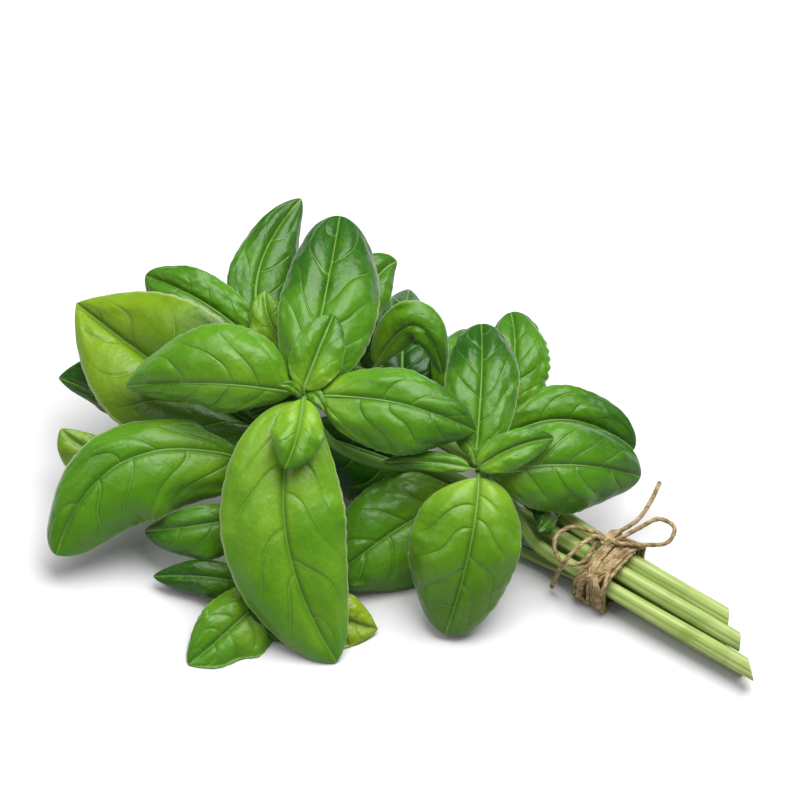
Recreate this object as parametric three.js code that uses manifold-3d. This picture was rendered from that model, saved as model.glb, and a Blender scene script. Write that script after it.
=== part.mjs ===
// A tied bunch of fresh basil lying on a table: six leafy stems and a jute twine tie.
// Millimetres, +Z up. +X runs along the bundle of bare stalks towards their cut ends,
// z = 0 is the table, and x = y = 0 is the middle of the whole bunch.
import * as THREE from 'three';
import { mergeVertices } from 'three/addons/utils/BufferGeometryUtils.js';
import Module from 'manifold-3d';

const wasm = await Module();
wasm.setup();

// ---- Driving dimensions ----------------------------------------------------------------
const stalkRadius = 3.0;        // bare stalk near its cut end
const stalkPitch = 6.3;         // between the middles of stalks that lie side by side
const lowStalkRadius = 2.6;     // stalks of the lower row
const thinStalkRadius = 2.2;
const stalkTipRadius = 1.4;     // where the stem ends in its rosette of leaves
const stalkSides = 8;
const stemSteps = 16;
const petioleRadius = 1.05;
const petioleSides = 5;
const bladeThickness = 0.7;
const twineRadius = 0.85;
const tieLift = 2.6;            // the tie holds the stalks this far off the table
const lookDown = 50;            // degrees: slant of the sheet that leaf points are set out on
const bundleTurn = 35.4;        // degrees between the sheet's right and the bundle's axis
const tieAcross = 67.5;         // the tie's place on the table, in the sheet's directions
const tieAway = 6.8;
const middleX = -66.8;          // the middle of the whole bunch, measured from the tie
const middleY = -21.8;

const radians = Math.PI / 180;
const turnCos = Math.cos(bundleTurn * radians);
const turnSin = Math.sin(bundleTurn * radians);
const slantCos = Math.cos(lookDown * radians);
const slantSin = Math.sin(lookDown * radians);

// A point on the bundle: along it from the tie, to its near side, and up.
function bundlePoint(along, near, height) {
  return new THREE.Vector3(along - middleX, -near - middleY, height);
}

// A leaf point: right and up along a sheet that slants back at lookDown, and its height.
function leafPoint([right, up, height]) {
  const x = right - tieAcross;
  const y = (up - height * slantCos) / slantSin - tieAway;
  return new THREE.Vector3(
    x * turnCos - y * turnSin - middleX,
    x * turnSin + y * turnCos - middleY,
    height,
  );
}

// The way a leaf faces when it lies flat on that sheet.
const outward = new THREE.Vector3(slantCos * turnSin, -slantCos * turnCos, slantSin);

// ---- Closed solids ---------------------------------------------------------------------
// Rings of points joined in order, and closed at both ends by a fan or back to the first.
function loft(rings, endless = false) {
  const positions = rings.flat().flatMap((p) => [p.x, p.y, p.z]);
  const count = rings[0].length;
  const faces = [];
  const joins = endless ? rings.length : rings.length - 1;
  for (let r = 0; r < joins; r += 1) {
    const [here, next] = [r * count, ((r + 1) % rings.length) * count];
    for (let c = 0; c < count; c += 1) {
      const d = (c + 1) % count;
      faces.push(here + c, here + d, next + d, here + c, next + d, next + c);
    }
  }
  const last = (rings.length - 1) * count;
  for (let c = 1; c < count - 1 && !endless; c += 1) {
    faces.push(0, c + 1, c);
    faces.push(last, last + c, last + c + 1);
  }
  return solid(positions, faces);
}

function solid(positions, faces) {
  const made = new wasm.Manifold(new wasm.Mesh({
    numProp: 3,
    vertProperties: Float32Array.from(positions),
    triVerts: Uint32Array.from(faces),
  }));
  return made;
}

// A round bar through points, its radius given at each step by radiusAt(share of length).
// Its first side faces straight down where the bar is level.
function bar(points, radiusAt, sides, steps) {
  const curve = new THREE.CatmullRomCurve3(points, false, 'centripetal');
  const rings = [];
  for (let i = 0; i <= steps; i += 1) {
    const middle = curve.getPointAt(i / steps);
    const along = curve.getTangentAt(i / steps);
    const side = new THREE.Vector3(0, 0, 1).cross(along);
    if (side.length() < 0.2) side.set(1, 0, 0).cross(along);
    side.normalize();
    const up = along.clone().cross(side);
    const reach = radiusAt(i / steps) / Math.cos(Math.PI / sides);
    const ring = [];
    for (let k = 0; k < sides; k += 1) {
      const angle = ((k + 0.5) / sides) * 2 * Math.PI - Math.PI / 2;
      ring.push(middle.clone()
        .addScaledVector(side, reach * Math.cos(angle))
        .addScaledVector(up, reach * Math.sin(angle)));
    }
    rings.push(ring);
  }
  return loft(rings);
}

// ---- One leaf --------------------------------------------------------------------------
// root, middle and tip are points of the midrib. left and right are the greatest half
// widths, seen from the root with the upper face towards the eye. foldLeft and foldRight
// lift each half towards the upper face, and roll turns the whole blade about its midrib,
// all in degrees. blunt below 1 rounds the tip.
const leafDefaults = {
  foldLeft: -8,
  foldRight: -8,
  roll: 0,
  blunt: 0.68,
  widest: 0.43,                 // share of the length where the blade is widest
  wave: 0.9,
};
const puff = 0.11;              // how far each half bulges, as a share of its width
const curl = 0.16;              // how far its margin bends down

function widthShare(s, blunt, widest) {
  const rise = (blunt * widest) / (1 - widest);
  const shape = (t) => t ** rise * (1 - t) ** blunt;
  return shape(s) / shape(widest);
}

function blade(leaf) {
  const { foldLeft, foldRight, roll, blunt, widest, wave } = { ...leafDefaults, ...leaf };
  const root = leafPoint(leaf.root);
  const middle = leafPoint(leaf.middle);
  const tip = leafPoint(leaf.tip);
  const control = middle.clone().multiplyScalar(2)
    .addScaledVector(root, -0.5).addScaledVector(tip, -0.5);
  const midrib = new THREE.QuadraticBezierCurve3(root, control, tip);
  const chord = tip.clone().sub(root).normalize();
  const facing = outward.clone().applyAxisAngle(chord, roll * radians);
  const across = leaf.left + leaf.right;
  const rows = across > 30 ? 7 : 5;
  const spans = across > 30 ? 3 : 2;  // columns of each half
  const rings = [];
  for (let i = 0; i <= rows; i += 1) {
    const even = i / rows;
    const s = 0.6 * even + 0.4 * (0.5 - 0.5 * Math.cos(even * Math.PI));
    const at = midrib.getPoint(s);
    const along = midrib.getTangent(s);
    const side = facing.clone().cross(along).normalize();
    const normal = along.clone().cross(side).normalize();
    const upper = [];
    const under = [];
    for (let j = -spans; j <= spans; j += 1) {
      const half = j < 0 ? leaf.right : leaf.left;
      const fold = (j < 0 ? foldRight : foldLeft) * radians;
      const out = Math.abs(j) / spans;
      const scallop = 1 + (i % 2 ? 0.03 : -0.03) * out;
      const width = Math.max(half * widthShare(s, blunt, widest), 0.5) * scallop;
      const bulge = (puff * Math.sin(out * Math.PI) - curl * out ** 3) * width;
      const ripple = wave * out * out * Math.sin(s * 13 + (j < 0 ? 0 : 2)) * Math.min(width / 8, 1);
      const reach = out * width;
      const lift = bulge + ripple;
      const spot = at.clone()
        .addScaledVector(side, Math.sign(j) * (reach * Math.cos(fold) - lift * Math.sin(fold)))
        .addScaledVector(normal, reach * Math.sin(fold) + lift * Math.cos(fold));
      const lower = spot.clone().addScaledVector(normal, -bladeThickness / 2);
      const higher = spot.clone().addScaledVector(normal, bladeThickness / 2);
      lower.z = Math.max(lower.z, 0);
      if (lower.z === 0) higher.z = Math.max(higher.z, bladeThickness);
      upper.push(higher);
      under.push(lower);
    }
    rings.push({ upper, under });
  }
  return { shape: bladeSolid(rings), midrib, facing };
}

// Both faces of a blade are split into like triangles, so that they never cross.
function bladeSolid(rings) {
  const columns = rings[0].upper.length;
  const positions = [];
  for (const { upper, under } of rings) {
    for (const p of [...upper, ...under]) positions.push(p.x, p.y, p.z);
  }
  const at = (row, column, low) => row * 2 * columns + column + (low ? columns : 0);
  const faces = [];
  const quad = (a, b, c, d) => faces.push(a, b, c, a, c, d);
  const last = rings.length - 1;
  for (let r = 0; r < last; r += 1) {
    for (let c = 0; c < columns - 1; c += 1) {
      quad(at(r, c, 0), at(r + 1, c, 0), at(r + 1, c + 1, 0), at(r, c + 1, 0));
      const [a, b] = [at(r, c, 1), at(r + 1, c, 1)];
      const [d, e] = [at(r + 1, c + 1, 1), at(r, c + 1, 1)];
      faces.push(a, d, b, a, e, d);
    }
    const edge = columns - 1;
    quad(at(r, 0, 0), at(r, 0, 1), at(r + 1, 0, 1), at(r + 1, 0, 0));
    quad(at(r, edge, 0), at(r + 1, edge, 0), at(r + 1, edge, 1), at(r, edge, 1));
  }
  for (let c = 0; c < columns - 1; c += 1) {
    quad(at(0, c, 0), at(0, c + 1, 0), at(0, c + 1, 1), at(0, c, 1));
    quad(at(last, c, 0), at(last, c, 1), at(last, c + 1, 1), at(last, c + 1, 0));
  }
  return solid(positions, faces);
}

// ---- The leafy stems -------------------------------------------------------------------
// Each path runs from the cut end through the tie to the stem's tip. Each leaf names the
// share of the path where its stalk leaves the stem.
const highRow = 9.0;
const lowRow = 2.6;
const far = -stalkPitch;

const stems = {
  leafy_stem_front_rosette: {
    colour: '#4b962a',
    radius: stalkRadius,
    path: [
      bundlePoint(55, 0, highRow), bundlePoint(0, 0, highRow + tieLift),
      bundlePoint(-30, 0, 13), leafPoint([14, 42, 20]), leafPoint([-8, 46, 32]),
      leafPoint([-24, 54, 46]), leafPoint([-32, 69, 60]),
    ],
    leaves: [
      {
        from: 0.97, root: [-32, 66, 58], middle: [-38, 24, 37], tip: [-21, -20, 1],
        left: 21, right: 22, blunt: 0.6, widest: 0.48,
      },
      {
        from: 0.97, root: [-31, 72, 60], middle: [-25, 100, 72], tip: [-20, 128, 74],
        left: 15, right: 19, blunt: 0.44, widest: 0.5,
      },
      {
        from: 0.97, root: [-36, 69, 60], middle: [-63, 72, 64], tip: [-91, 71, 50],
        left: 13, right: 21, foldLeft: -40,
      },
      {
        from: 0.97, root: [-27, 68, 60], middle: [2, 65, 64], tip: [25, 56, 53],
        left: 13, right: 17.5, foldLeft: -20,
      },
      {
        from: 0.99, root: [-32, 70, 62], middle: [-27, 83, 70], tip: [-22, 95, 74],
        left: 8.5, right: 9, foldLeft: 14, foldRight: 14,
      },
      { from: 0.99, root: [-32, 67, 62], middle: [-34, 55, 62], tip: [-38, 44, 55], left: 9, right: 9 },
    ],
  },
  leafy_stem_right_rosette: {
    colour: '#43892a',
    radius: stalkRadius,
    path: [
      bundlePoint(64, 6.6, 7.6), bundlePoint(0, 6.6, 7.6 + tieLift),
      bundlePoint(-24, 6.6, 13), leafPoint([37, 32, 24]), leafPoint([28, 41, 36]),
      leafPoint([25, 45, 44]),
    ],
    leaves: [
      {
        from: 0.96, root: [26, 41, 43], middle: [23, 17, 31], tip: [15, -11, 3],
        left: 17, right: 21, blunt: 0.45, widest: 0.48,
      },
      {
        from: 0.96, root: [25, 48, 46], middle: [27, 74, 58], tip: [27, 92, 58],
        left: 12.5, right: 13, blunt: 0.42, widest: 0.5,
      },
      {
        from: 0.93, root: [32, 43, 40], middle: [58, 45, 38], tip: [80, 41, 22],
        left: 15, right: 17.5, foldLeft: -15, foldRight: -15, blunt: 0.45, widest: 0.48,
      },
      {
        from: 0.98, root: [26, 44, 46], middle: [38, 51, 51], tip: [51, 54, 48],
        left: 6, right: 6.5, foldLeft: 10, foldRight: 10,
      },
      { from: 0.98, root: [23, 44, 46], middle: [10, 46, 47], tip: [-6, 46, 42], left: 3, right: 4 },
    ],
  },
  leafy_stem_top: {
    colour: '#5b9a38',
    radius: stalkRadius,
    path: [
      bundlePoint(46, far, highRow), bundlePoint(0, far, highRow + tieLift),
      bundlePoint(-30, -7.5, 14), leafPoint([12, 54, 20]), leafPoint([-12, 68, 30]),
      leafPoint([-34, 80, 42]), leafPoint([-44, 86, 46]),
    ],
    leaves: [
      {
        from: 0.97, root: [-50, 87, 47], middle: [-67, 100, 56], tip: [-85, 108, 54],
        left: 14, right: 10, blunt: 0.5,
      },
      { from: 0.97, root: [-45, 87, 48], middle: [-47, 110, 58], tip: [-33, 134, 64], left: 10, right: 14 },
      { from: 0.9, root: [-36, 82, 45], middle: [-43, 92, 54], tip: [-45, 103, 58], left: 8, right: 9 },
      { from: 0.75, root: [-18, 84, 42], middle: [-10, 104, 52], tip: [-1, 113, 52], left: 11, right: 8 },
      {
        from: 0.52, root: [33, 63, 32], middle: [38, 80, 42], tip: [37, 96, 42],
        left: 9, right: 12, blunt: 0.5,
      },
      {
        from: 0.48, root: [33, 53, 28], middle: [56, 60, 30], tip: [78, 50, 16],
        left: 12, right: 12, blunt: 0.5,
      },
      { from: 0.4, root: [50, 29, 18], middle: [47, 30, 20], tip: [44, 31, 21], left: 4, right: 3 },
      { from: 0.39, root: [52, 28, 18], middle: [49, 26, 21], tip: [46, 23, 21], left: 3, right: 3.5 },
      {
        from: 0.65, root: [-8, 78, 34], middle: [5, 91, 50], tip: [14, 75, 36],
        left: 9, right: 8, foldRight: -35,
      },
    ],
  },
  leafy_stem_left: {
    colour: '#2f7a1d',
    radius: lowStalkRadius,
    path: [
      bundlePoint(50, -0.7, lowRow), bundlePoint(0, -0.7, lowRow + tieLift),
      bundlePoint(-40, 0, 6.5), bundlePoint(-80, 2, 10), leafPoint([-30, 54, 18]),
      leafPoint([-50, 56, 28]), leafPoint([-64, 58, 32]),
    ],
    leaves: [
      {
        from: 0.9, root: [-45, 57, 40], middle: [-77, 76, 44], tip: [-108, 99, 46],
        left: 24, right: 25, foldLeft: 20, foldRight: 20, blunt: 0.9, widest: 0.48,
      },
      {
        from: 0.97, root: [-80, 57, 26], middle: [-97, 67, 30], tip: [-114, 74, 28],
        left: 6, right: 17, foldLeft: -30,
      },
      { from: 0.97, root: [-88, 44, 18], middle: [-102, 49, 24], tip: [-113, 57, 28], left: 11, right: 6 },
      {
        from: 0.9, root: [-45, 45, 30], middle: [-90, 47, 39], tip: [-114, 15, 12],
        left: 23, right: 14, foldRight: -25, blunt: 0.45, widest: 0.5,
      },
      { from: 0.86, root: [-48, 28, 20], middle: [-67, 25, 22], tip: [-85, 23, 14], left: 12, right: 7 },
      { from: 0.6, root: [8, 43, 15], middle: [-12, 50, 20], tip: [-34, 58, 18], left: 14, right: 13 },
    ],
  },
  leafy_stem_low: {
    colour: '#2a6f1c',
    radius: thinStalkRadius,
    path: [
      bundlePoint(60, 4.5, thinStalkRadius), bundlePoint(50, 4.5, thinStalkRadius),
      bundlePoint(40, 4.5, thinStalkRadius + 0.2), bundlePoint(0, 4.5, thinStalkRadius + tieLift),
      bundlePoint(-30, 7, 5), leafPoint([13, 31, 8]), leafPoint([-10, 24, 12]),
      leafPoint([-30, 16, 14]), leafPoint([-42, 10, 14]),
    ],
    leaves: [
      { from: 0.95, root: [-50, 5, 8], middle: [-65, 8, 10], tip: [-82, 8, 5], left: 7, right: 6 },
      { from: 0.97, root: [-44, 2, 10], middle: [-56, -9, 7], tip: [-70, -21, 0.4], left: 15, right: 11.5 },
      { from: 0.9, root: [-38, 8, 12], middle: [-43, -2, 10], tip: [-38, -13, 2], left: 9, right: 9 },
      {
        from: 0.8, root: [-32, 0, 9], middle: [-19, -6, 6], tip: [-7.3, -9.3, 2],
        left: 9, right: 14, blunt: 1, widest: 0.5,
      },
      {
        from: 0.6, root: [19, 34, 18], middle: [-2, 23, 19], tip: [-24, 6, 8],
        left: 23, right: 17.5, foldLeft: -18,
      },
    ],
  },
  leafy_stem_back: {
    colour: '#3c8426',
    radius: lowStalkRadius,
    path: [
      bundlePoint(42, far, lowRow), bundlePoint(0, far, lowRow + tieLift),
      bundlePoint(-35, -9, 8), leafPoint([25, 52, 14]), leafPoint([0, 70, 18]),
      leafPoint([-30, 82, 22]), leafPoint([-50, 86, 24]),
    ],
    leaves: [
      { from: 0.8, root: [-22, 86, 22], middle: [-22, 100, 24], tip: [-25, 116, 0.4], left: 17, right: 16 },
      { from: 0.9, root: [-45, 84, 24], middle: [-55, 95, 24], tip: [-62, 103, 3], left: 15, right: 15 },
      { from: 0.65, root: [1, 70, 20], middle: [1, 87, 24], tip: [3, 104, 12], left: 15, right: 15 },
      { from: 0.5, root: [20, 66, 18], middle: [32, 76, 20], tip: [42, 80, 6], left: 11, right: 11 },
      { from: 0.72, root: [-10, 80, 22], middle: [-4, 92, 30], tip: [-3, 101, 26], left: 9, right: 9 },
      { from: 0.85, root: [-34, 86, 26], middle: [-40, 104, 34], tip: [-42, 118, 30], left: 10, right: 10 },
      { from: 0.55, root: [14, 68, 20], middle: [20, 82, 28], tip: [26, 89, 20], left: 8, right: 8 },
      { from: 0.93, root: [-52, 84, 25], middle: [-66, 92, 32], tip: [-78, 98, 26], left: 10, right: 10 },
      { from: 0.97, root: [-60, 76, 22], middle: [-80, 84, 20], tip: [-98, 88, 0.4], left: 16, right: 15 },
    ],
  },
};

// A leaf with its own stalk, which starts inside the stem and runs on under the midrib.
function leafWithStalk(curve, leaf) {
  const { shape, midrib, facing } = blade(leaf);
  const start = curve.getPointAt(leaf.from);
  const root = midrib.getPoint(0.02).addScaledVector(facing, -0.3);
  const under = midrib.getPoint(0.16).addScaledVector(facing, -0.6);
  const gap = start.distanceTo(root);
  const lean = root.clone().addScaledVector(midrib.getTangent(0), -0.35 * gap);
  const points = gap > 6 ? [start, lean, root, under] : [start, root, under];
  const thin = (share) => petioleRadius * (1 - 0.35 * share);
  const stalk = bar(points, thin, petioleSides, 4);
  return stalk.add(shape);
}

function leafyStem({ path, radius, leaves }) {
  const curve = new THREE.CatmullRomCurve3(path, false, 'centripetal');
  const taper = (share) => radius + (stalkTipRadius - radius) * share ** 2;
  const stem = bar(path, taper, stalkSides, stemSteps);
  return leaves.reduce((whole, leaf) => whole.add(leafWithStalk(curve, leaf)), stem);
}

// ---- The twine tie ---------------------------------------------------------------------
// Turns round the bundle: where the middle of each lies, how far it slants towards the cut
// ends on its near side, and how far it stands off where it crosses over the others.
const turns = [
  { along: -2.4, slant: 1.4, over: 0 }, { along: 0, slant: -1.2, over: 0 },
  { along: 2.4, slant: 2.2, over: 0 }, { along: 4.8, slant: -2.4, over: 0 },
  { along: 7.0, slant: 0.6, over: 0 },
  { along: 2.2, slant: 5.6, over: 0.9 }, { along: 3.0, slant: -5.2, over: 0.9 },
];
const clearance = 0.5;
const tieBottom = twineRadius + 0.05;
const tieTop = highRow + tieLift + stalkRadius + clearance + twineRadius;
const tieHalfWidth = stalkPitch + stalkRadius + clearance + twineRadius;
const squareness = 0.4;         // the turns follow a rounded box; 1 would be an ellipse
const turnSteps = 16;
const turnSides = 5;

function turnRing({ along, slant, over }, step) {
  const squared = (value) => Math.sign(value) * Math.abs(value) ** squareness;
  const angle = (step / turnSteps) * 2 * Math.PI;
  const [out, up] = [Math.cos(angle), Math.sin(angle)];
  const middle = (tieTop + tieBottom) / 2;
  const rise = (tieTop - tieBottom) / 2;
  const spot = [
    squared(out) * (tieHalfWidth + over),
    middle + squared(up) * rise + Math.max(up, 0) * over,
  ];
  const ring = [];
  for (let k = 0; k < turnSides; k += 1) {
    const round = (k / turnSides) * 2 * Math.PI;
    const off = twineRadius * Math.cos(round);
    ring.push(bundlePoint(
      along + slant * Math.cos(angle - 0.6) + twineRadius * Math.sin(round),
      spot[0] + off * out,
      spot[1] + off * up,
    ));
  }
  return ring;
}

function twineTurn(turn) {
  const rings = [];
  for (let step = 0; step < turnSteps; step += 1) rings.push(turnRing(turn, step));
  return loft(rings, true);
}

function tube(curve, steps, sides) {
  const outline = new THREE.EllipseCurve(0, 0, twineRadius, twineRadius).getPoints(sides);
  const section = new THREE.Shape(outline.slice(0, -1));
  const geometry = new THREE.ExtrudeGeometry(section, { steps, extrudePath: curve });
  return fromGeometry(geometry);
}

function fromGeometry(geometry) {
  geometry.deleteAttribute('normal');
  geometry.deleteAttribute('uv');
  const merged = mergeVertices(geometry, 1e-4);
  return solid(merged.attributes.position.array, merged.index.array);
}

const knot = bundlePoint(-1.5, -4.6, tieTop + 1.4);
const knotSize = new THREE.Vector3(3.4, 2.6, 2.1);

function tieWithKnot() {
  const bulb = new THREE.SphereGeometry(1, 10, 7);
  bulb.scale(knotSize.x, knotSize.y, knotSize.z);
  bulb.translate(knot.x, knot.y, knot.z);
  return turns.reduce((whole, turn) => whole.add(twineTurn(turn)), fromGeometry(bulb));
}

// The bow's strands, each from the knot outwards. A loop comes back to the knot.
const strands = {
  twine_loop_right: [
    [73, 20.8, 18.8], [79, 24, 21], [86, 27.2, 22], [91, 24.4, 21], [89, 19.6, 19],
    [82, 18.6, 18.6], [74.4, 19, 18.6],
  ],
  twine_tail_right: [
    [72.6, 22.8, 18.4], [78.5, 26.5, 18.4], [83.5, 33, 14], [86.6, 39, 8],
  ],
  twine_loop_left: [
    [64, 23, 18.6], [57, 24.6, 20], [52, 21.6, 19], [51.3, 17, 17.5], [54.5, 12.6, 16],
    [60, 12.6, 16.5], [63.6, 17, 17], [64.8, 19.6, 17.2],
  ],
  twine_tail_left: [
    [64, 21.2, 20.4], [60, 18.8, 25], [55.6, 14.6, 24], [52.6, 9.8, 15], [50.4, 4.6, 3],
  ],
};
const strandSteps = 12;

// ---- The whole bunch -------------------------------------------------------------------
const group = new THREE.Group();

function addMesh(name, made, colour, roughness) {
  const { vertProperties, triVerts } = made.getMesh();
  const geometry = new THREE.BufferGeometry();
  geometry.setAttribute('position', new THREE.BufferAttribute(vertProperties, 3));
  geometry.setIndex(new THREE.BufferAttribute(triVerts, 1));
  geometry.computeVertexNormals();
  const material = new THREE.MeshStandardMaterial({ color: colour, roughness, metalness: 0 });
  const mesh = new THREE.Mesh(geometry, material);
  mesh.name = name;
  group.add(mesh);
}

for (const [name, stem] of Object.entries(stems)) {
  addMesh(name, leafyStem(stem), stem.colour, 0.45);
}
addMesh('twine_tie', tieWithKnot(), '#b9966a', 0.95);
for (const [name, route] of Object.entries(strands)) {
  const curve = new THREE.CatmullRomCurve3(route.map(leafPoint), false, 'centripetal');
  addMesh(name, tube(curve, strandSteps, 8), '#b9966a', 0.95);
}

export default group;
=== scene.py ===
import math
import random

import bpy
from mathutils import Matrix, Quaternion, Vector


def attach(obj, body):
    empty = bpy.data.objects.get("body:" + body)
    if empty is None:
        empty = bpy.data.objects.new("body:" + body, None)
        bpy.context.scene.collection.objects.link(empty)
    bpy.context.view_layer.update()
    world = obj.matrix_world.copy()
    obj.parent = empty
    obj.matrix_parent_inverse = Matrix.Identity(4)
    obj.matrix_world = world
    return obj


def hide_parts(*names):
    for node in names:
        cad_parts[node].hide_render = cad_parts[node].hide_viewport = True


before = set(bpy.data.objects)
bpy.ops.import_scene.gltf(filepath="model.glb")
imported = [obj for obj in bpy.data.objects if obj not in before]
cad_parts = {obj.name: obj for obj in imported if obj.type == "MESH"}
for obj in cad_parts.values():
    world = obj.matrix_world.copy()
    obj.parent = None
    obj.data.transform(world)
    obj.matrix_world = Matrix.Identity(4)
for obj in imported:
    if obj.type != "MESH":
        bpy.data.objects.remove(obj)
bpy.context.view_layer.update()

mm = 0.001

# Leaf points are set out on a sheet that slants back, as right, up and height in millimetres.
sheet = {
    "lookDown": math.radians(50),
    "turn": math.radians(35.4),     # from the sheet's right to the bundle's axis
    "tieAcross": 67.5,              # the tie's place on the table, in the sheet's directions
    "tieAway": 6.8,
    "middleX": -66.8,               # the middle of the whole bunch, measured from the tie
    "middleY": -21.8,
}
turnCos, turnSin = math.cos(sheet["turn"]), math.sin(sheet["turn"])
slantCos, slantSin = math.cos(sheet["lookDown"]), math.sin(sheet["lookDown"])
outward = Vector((slantCos * turnSin, -slantCos * turnCos, slantSin))


def leafPoint(spot):
    right, up, height = spot
    x = right - sheet["tieAcross"]
    y = (up - height * slantCos) / slantSin - sheet["tieAway"]
    return mm * Vector((
        x * turnCos - y * turnSin - sheet["middleX"],
        x * turnSin + y * turnCos - sheet["middleY"],
        height,
    ))


def bundlePoint(along, near, height):
    return mm * Vector((along - sheet["middleX"], -near - sheet["middleY"], height))


camera = {"aim": (0, 66.67, 30), "away": 5.0, "sensor": 36.0, "across": 0.26667, "sees": 50.0}


def addObject(name, data):
    made = bpy.data.objects.new(name, data)
    bpy.context.scene.collection.objects.link(made)
    return made


def makeCamera():
    data = bpy.data.cameras.new("camera")
    data.sensor_width = camera["sensor"]
    data.lens = camera["sensor"] * camera["away"] / camera["across"]
    data.clip_end = camera["sees"]
    holder = addObject("camera", data)
    holder.location = leafPoint(camera["aim"]) + outward * camera["away"]
    holder.rotation_euler = outward.to_track_quat("Z", "Y").to_euler()
    bpy.context.scene.camera = holder


makeCamera()
print("camera placed")


# A field is one socket of a tree; sums and products of fields add the nodes that work them out.
class Field:
    def __init__(self, tree, socket, vector=False):
        self.tree = tree
        self.socket = socket
        self.vector = vector

    def step(self, kind, *others):
        node = self.tree.nodes.new("ShaderNodeVectorMath" if self.vector else "ShaderNodeMath")
        node.operation = kind
        for place, value in zip(node.inputs, (self, *others)):
            give(value, place)
        return Field(self.tree, node.outputs["Vector" if self.vector else "Value"], self.vector)

    def scaled(self, factor):
        node = self.tree.nodes.new("ShaderNodeVectorMath")
        node.operation = "SCALE"
        setSockets(node, {0: self, "Scale": factor})
        return Field(self.tree, node.outputs["Vector"], True)

    def __add__(self, other):
        return self.step("ADD", other)

    def __sub__(self, other):
        return self.step("SUBTRACT", other)

    def __mul__(self, other):
        if self.vector and not (isinstance(other, Field) and other.vector):
            return self.scaled(other)
        return self.step("MULTIPLY", other)

    def __truediv__(self, other):
        return self.step("DIVIDE", other)

    def __pow__(self, other):
        return self.step("POWER", other)

    def __rsub__(self, other):
        return self.step("MULTIPLY", -1.0) + other

    def within(self, low, high):    # 0 below low, 1 above high, smooth between
        node = self.tree.nodes.new("ShaderNodeMapRange")
        node.interpolation_type = "SMOOTHSTEP"
        setSockets(node, {"Value": self, "From Min": low, "From Max": high})
        return Field(self.tree, node.outputs["Result"])

    def parts(self):
        node = self.tree.nodes.new("ShaderNodeSeparateXYZ")
        give(self, node.inputs[0])
        return [Field(self.tree, place) for place in node.outputs]


def give(value, place):
    if isinstance(value, Field):
        value.tree.links.new(value.socket, place)
    else:
        place.default_value = value


def setSockets(node, values):
    for label, value in values.items():
        give(value, node.inputs[label])


def joined(x, y, z):
    node = x.tree.nodes.new("ShaderNodeCombineXYZ")
    setSockets(node, {0: x, 1: y, 2: z})
    return Field(x.tree, node.outputs[0], True)


class Shape:
    # A geometry tree with named inputs, one mesh or set of points in and one mesh out.
    def __init__(self, name, inputs):
        self.tree = bpy.data.node_groups.new(name, "GeometryNodeTree")
        face = self.tree.interface
        face.new_socket("Geometry", in_out="INPUT", socket_type="NodeSocketGeometry")
        self.places = {
            label: face.new_socket(label, in_out="INPUT", socket_type=kind).identifier
            for label, kind in inputs.items()
        }
        face.new_socket("Geometry", in_out="OUTPUT", socket_type="NodeSocketGeometry")
        self.group = self.tree.nodes.new("NodeGroupInput")

    def given(self, label):     # 0 is the mesh or the points
        return Field(self.tree, self.group.outputs[label])

    def add(self, kind, output=0, settings=None, **inputs):
        node = self.tree.nodes.new(kind if "FunctionNode" in kind else "GeometryNode" + kind)
        for name, value in (settings or {}).items():
            setattr(node, name, value)
        for label, value in inputs.items():
            give(value, node.inputs[label.replace("_", " ")])
        return Field(self.tree, node.outputs[output])

    def named(self, name, vector=False):
        kind = "FLOAT_VECTOR" if vector else "FLOAT"
        made = self.add("InputNamedAttribute", "Attribute", {"data_type": kind}, Name=name)
        made.vector = vector
        return made

    def store(self, geometry, name, value):
        kind = "FLOAT_VECTOR" if getattr(value, "vector", False) else "FLOAT"
        return self.add("StoreNamedAttribute", 0, {"data_type": kind},
                        Geometry=geometry, Name=name, Value=value)

    def join(self, *parts):
        node = self.tree.nodes.new("GeometryNodeJoinGeometry")
        for part in parts:
            give(part, node.inputs[0])
        return Field(self.tree, node.outputs[0])

    def finish(self, geometry, material):
        smooth = self.add("SetShadeSmooth", Geometry=geometry)
        real = self.add("RealizeInstances", Geometry=smooth)
        done = self.add("SetMaterial", Geometry=real, Material=material)
        out = self.tree.nodes.new("NodeGroupOutput")
        give(done, out.inputs[0])

    def make(self, name, mesh, **values):
        # The plain mesh that the tree makes of mesh.
        holder = addObject(name, mesh)
        modifier = holder.modifiers.new("shape", "NODES")
        modifier.node_group = self.tree
        for label, value in values.items():
            modifier[self.places[label.replace("_", " ")]] = value
        bpy.context.view_layer.update()
        seen = holder.evaluated_get(bpy.context.evaluated_depsgraph_get())
        made = bpy.data.meshes.new_from_object(seen)
        holder.modifiers.clear()
        holder.data = made
        made.name = name
        for extra in [a.name for a in made.attributes if a.name in workNames]:
            made.attributes.remove(made.attributes[extra])
        return holder


workNames = {"root", "control", "tip", "facing", "left", "right", "foldLeft", "foldRight",
             "rise", "blunt", "peak", "wave", "quilt", "teeth", "thick", "turned", "face",
             "across", "even", "along", "round", "lobe"}


def pointMesh(name, places, edges, columns):
    # Bare vertices that carry named numbers and vectors for a tree to read.
    mesh = bpy.data.meshes.new(name)
    mesh.from_pydata(places, edges, [])
    for label, values in columns.items():
        vector = hasattr(values[0], "__len__")
        made = mesh.attributes.new(label, "FLOAT_VECTOR" if vector else "FLOAT", "POINT")
        if vector:
            made.data.foreach_set("vector", [x for value in values for x in value])
        else:
            made.data.foreach_set("value", values)
    return mesh


def joinPieces(name, pieces):
    with bpy.context.temp_override(active_object=pieces[0], object=pieces[0],
                                   selected_objects=pieces, selected_editable_objects=pieces):
        bpy.ops.object.join()
    whole = pieces[0]
    whole.name = name
    whole.data.name = name
    return whole


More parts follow.
